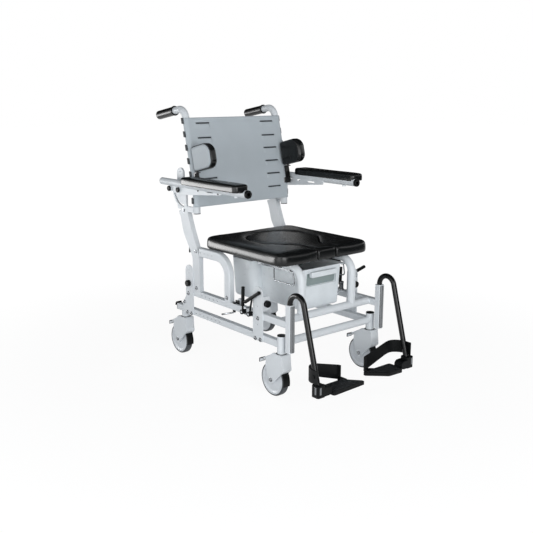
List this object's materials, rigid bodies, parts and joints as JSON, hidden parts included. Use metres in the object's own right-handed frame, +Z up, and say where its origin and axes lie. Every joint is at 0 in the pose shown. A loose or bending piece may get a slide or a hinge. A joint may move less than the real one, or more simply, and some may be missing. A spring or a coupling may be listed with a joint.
{
  "type": "wheeled commode chair",
  "caption": "Wheeled commode and shower chair with slide-out pan, lift-out seat insert, flip-up armrests, swing-away footrests and braked casters.",
  "frame": {"origin": "on the floor, in the middle of the outer box in plan", "axes": "+Z up, +X towards the left hand of the person sitting in the chair, -Y towards the front where the feet are"},
  "size_m": [0.644, 0.9883, 1.0186],
  "materials": {
    "frame_paint": "smooth light grey powder coat",
    "black_paint": "satin black coat",
    "bright_steel": "polished plated steel",
    "black_plastic": "fine-grained moulded black",
    "grey_plastic": "smooth moulded light grey",
    "pan_plastic": "smooth moulded pale grey",
    "seat_foam": "soft black skin-covered foam",
    "arm_foam": "soft black moulded foam",
    "grip_rubber": "black ribbed grip",
    "back_fabric": "grey coated weave",
    "webbing": "dark woven strap",
    "tyre_rubber": "smooth dark tread"
  },
  "bodies": {
    "chair": {"base_rail_left": "frame_paint", "base_rail_right": "frame_paint", "upper_rail_left": "frame_paint", "upper_rail_right": "frame_paint", "crossbars": "frame_paint", "height_plates": "frame_paint", "side_hoops": "frame_paint", "back_posts": "frame_paint", "back_canes": "frame_paint", "push_grips": "grip_rubber", "back_upholstery": "back_fabric", "back_straps": "webbing", "lateral_brackets": "black_paint", "seat_rails": "frame_paint", "seat_cushion": "seat_foam", "seat_clips": "black_plastic", "pan_guides": "bright_steel", "frame_bolts": "bright_steel", "tube_end_caps": "black_plastic"},
    "seat_insert": {"seat_insert": "seat_foam"},
    "pan": {"pan": "pan_plastic"},
    "armrest_left": {"armrest_frame_left": "frame_paint", "arm_pad_left": "arm_foam"},
    "lateral_left": {"lateral_pad_left": "arm_foam"},
    "footrest_left": {"footrest_tube_left": "black_paint", "footplate_bracket_left": "black_plastic", "heel_strap_left": "black_plastic"},
    "footplate_left": {"footplate_left": "black_plastic"},
    "front_knob_left": {"front_knob_left": "black_plastic"},
    "rear_knob_left": {"rear_knob_left": "black_plastic"},
    "clamp_lever_left": {"clamp_lever_left": "black_plastic"},
    "release_lever_left": {"release_lever_left": "black_plastic"},
    "caster_front_left": {"caster_fork_front_left": "frame_paint"},
    "wheel_front_left": {"caster_wheel_front_left": "grey_plastic", "caster_tyre_front_left": "tyre_rubber"},
    "pedal_front_left": {"caster_pedal_front_left": "grey_plastic"},
    "caster_rear_left": {"caster_fork_rear_left": "frame_paint"},
    "wheel_rear_left": {"caster_wheel_rear_left": "grey_plastic", "caster_tyre_rear_left": "tyre_rubber"},
    "pedal_rear_left": {"caster_pedal_rear_left": "grey_plastic"},
    "armrest_right": {"armrest_frame_right": "frame_paint", "arm_pad_right": "arm_foam"},
    "lateral_right": {"lateral_pad_right": "arm_foam"},
    "footrest_right": {"footrest_tube_right": "black_paint", "footplate_bracket_right": "black_plastic", "heel_strap_right": "black_plastic"},
    "footplate_right": {"footplate_right": "black_plastic"},
    "front_knob_right": {"front_knob_right": "black_plastic"},
    "rear_knob_right": {"rear_knob_right": "black_plastic"},
    "clamp_lever_right": {"clamp_lever_right": "black_plastic"},
    "release_lever_right": {"release_lever_right": "black_plastic"},
    "caster_front_right": {"caster_fork_front_right": "frame_paint"},
    "wheel_front_right": {"caster_wheel_front_right": "grey_plastic", "caster_tyre_front_right": "tyre_rubber"},
    "pedal_front_right": {"caster_pedal_front_right": "grey_plastic"},
    "caster_rear_right": {"caster_fork_rear_right": "frame_paint"},
    "wheel_rear_right": {"caster_wheel_rear_right": "grey_plastic", "caster_tyre_rear_right": "tyre_rubber"},
    "pedal_rear_right": {"caster_pedal_rear_right": "grey_plastic"}
  },
  "joints": [
    {"name": "insert_lift", "type": "slide", "parent": "chair", "child": "seat_insert", "axis": [0, 0, 1], "range_m": [0, 0.08]},
    {"name": "pan_slide", "type": "slide", "parent": "chair", "child": "pan", "axis": [0, 1, 0], "range_m": [0, 0.36]},
    {"name": "armrest_flip_left", "type": "hinge", "parent": "chair", "child": "armrest_left", "pos_m": [0.271, 0.3091, 0.695], "axis": [-1, 0, 0], "range_deg": [0, 90]},
    {"name": "lateral_swing_left", "type": "hinge", "parent": "chair", "child": "lateral_left", "pos_m": [0.233, 0.22104, 0.76989], "axis": [0, 0.2295, 0.9733], "range_deg": [0, 90]},
    {"name": "footrest_swing_left", "type": "hinge", "parent": "chair", "child": "footrest_left", "pos_m": [0.2275, -0.3209, 0.355], "axis": [0, 0, 1], "range_deg": [0, 90]},
    {"name": "footplate_flip_left", "type": "hinge", "parent": "footrest_left", "child": "footplate_left", "pos_m": [0.1935, -0.46863, 0.082], "axis": [0, 1, 0], "range_deg": [0, 90]},
    {"name": "front_knob_pull_left", "type": "slide", "parent": "chair", "child": "front_knob_left", "axis": [0, -1, 0], "range_m": [0, 0.007], "stiffness_N_per_m": 400},
    {"name": "rear_knob_pull_left", "type": "slide", "parent": "chair", "child": "rear_knob_left", "axis": [1, 0, 0], "range_m": [0, 0.007], "stiffness_N_per_m": 400},
    {"name": "clamp_turn_left", "type": "hinge", "parent": "chair", "child": "clamp_lever_left", "pos_m": [0.2275, -0.0849, 0.2825], "axis": [-1, 0, 0], "range_deg": [0, 60]},
    {"name": "release_turn_left", "type": "hinge", "parent": "chair", "child": "release_lever_left", "pos_m": [0.2275, -0.1249, 0.2825], "axis": [1, 0, 0], "range_deg": [0, 25]},
    {"name": "caster_swivel_front_left", "type": "hinge", "parent": "chair", "child": "caster_front_left", "pos_m": [0.2275, -0.2769, 0.1665], "axis": [0, 0, 1], "continuous": true},
    {"name": "wheel_roll_front_left", "type": "hinge", "parent": "caster_front_left", "child": "wheel_front_left", "pos_m": [0.2275, -0.2413, 0.0625], "axis": [1, 0, 0], "continuous": true},
    {"name": "pedal_press_front_left", "type": "hinge", "parent": "caster_front_left", "child": "pedal_front_left", "pos_m": [0.2275, -0.2469, 0.152], "axis": [-1, 0, 0], "range_deg": [0, 8]},
    {"name": "caster_swivel_rear_left", "type": "hinge", "parent": "chair", "child": "caster_rear_left", "pos_m": [0.2275, 0.3301, 0.1665], "axis": [0, 0, 1], "continuous": true},
    {"name": "wheel_roll_rear_left", "type": "hinge", "parent": "caster_rear_left", "child": "wheel_rear_left", "pos_m": [0.2275, 0.3657, 0.0625], "axis": [1, 0, 0], "continuous": true},
    {"name": "pedal_press_rear_left", "type": "hinge", "parent": "caster_rear_left", "child": "pedal_rear_left", "pos_m": [0.2275, 0.3601, 0.152], "axis": [-1, 0, 0], "range_deg": [0, 8]},
    {"name": "armrest_flip_right", "type": "hinge", "parent": "chair", "child": "armrest_right", "pos_m": [-0.271, 0.3091, 0.695], "axis": [-1, 0, 0], "range_deg": [0, 90]},
    {"name": "lateral_swing_right", "type": "hinge", "parent": "chair", "child": "lateral_right", "pos_m": [-0.233, 0.22104, 0.76989], "axis": [0, -0.2295, -0.9733], "range_deg": [0, 90]},
    {"name": "footrest_swing_right", "type": "hinge", "parent": "chair", "child": "footrest_right", "pos_m": [-0.2275, -0.3209, 0.355], "axis": [0, 0, -1], "range_deg": [0, 90]},
    {"name": "footplate_flip_right", "type": "hinge", "parent": "footrest_right", "child": "footplate_right", "pos_m": [-0.1935, -0.46863, 0.082], "axis": [0, -1, 0], "range_deg": [0, 90]},
    {"name": "front_knob_pull_right", "type": "slide", "parent": "chair", "child": "front_knob_right", "axis": [0, -1, 0], "range_m": [0, 0.007], "stiffness_N_per_m": 400},
    {"name": "rear_knob_pull_right", "type": "slide", "parent": "chair", "child": "rear_knob_right", "axis": [-1, 0, 0], "range_m": [0, 0.007], "stiffness_N_per_m": 400},
    {"name": "clamp_turn_right", "type": "hinge", "parent": "chair", "child": "clamp_lever_right", "pos_m": [-0.2275, -0.0849, 0.2825], "axis": [-1, 0, 0], "range_deg": [0, 60]},
    {"name": "release_turn_right", "type": "hinge", "parent": "chair", "child": "release_lever_right", "pos_m": [-0.2275, -0.1249, 0.2825], "axis": [1, 0, 0], "range_deg": [0, 25]},
    {"name": "caster_swivel_front_right", "type": "hinge", "parent": "chair", "child": "caster_front_right", "pos_m": [-0.2275, -0.2769, 0.1665], "axis": [0, 0, 1], "continuous": true},
    {"name": "wheel_roll_front_right", "type": "hinge", "parent": "caster_front_right", "child": "wheel_front_right", "pos_m": [-0.2275, -0.2413, 0.0625], "axis": [1, 0, 0], "continuous": true},
    {"name": "pedal_press_front_right", "type": "hinge", "parent": "caster_front_right", "child": "pedal_front_right", "pos_m": [-0.2275, -0.2469, 0.152], "axis": [-1, 0, 0], "range_deg": [0, 8]},
    {"name": "caster_swivel_rear_right", "type": "hinge", "parent": "chair", "child": "caster_rear_right", "pos_m": [-0.2275, 0.3301, 0.1665], "axis": [0, 0, 1], "continuous": true},
    {"name": "wheel_roll_rear_right", "type": "hinge", "parent": "caster_rear_right", "child": "wheel_rear_right", "pos_m": [-0.2275, 0.3657, 0.0625], "axis": [1, 0, 0], "continuous": true},
    {"name": "pedal_press_rear_right", "type": "hinge", "parent": "caster_rear_right", "child": "pedal_rear_right", "pos_m": [-0.2275, 0.3601, 0.152], "axis": [-1, 0, 0], "range_deg": [0, 8]}
  ]
}
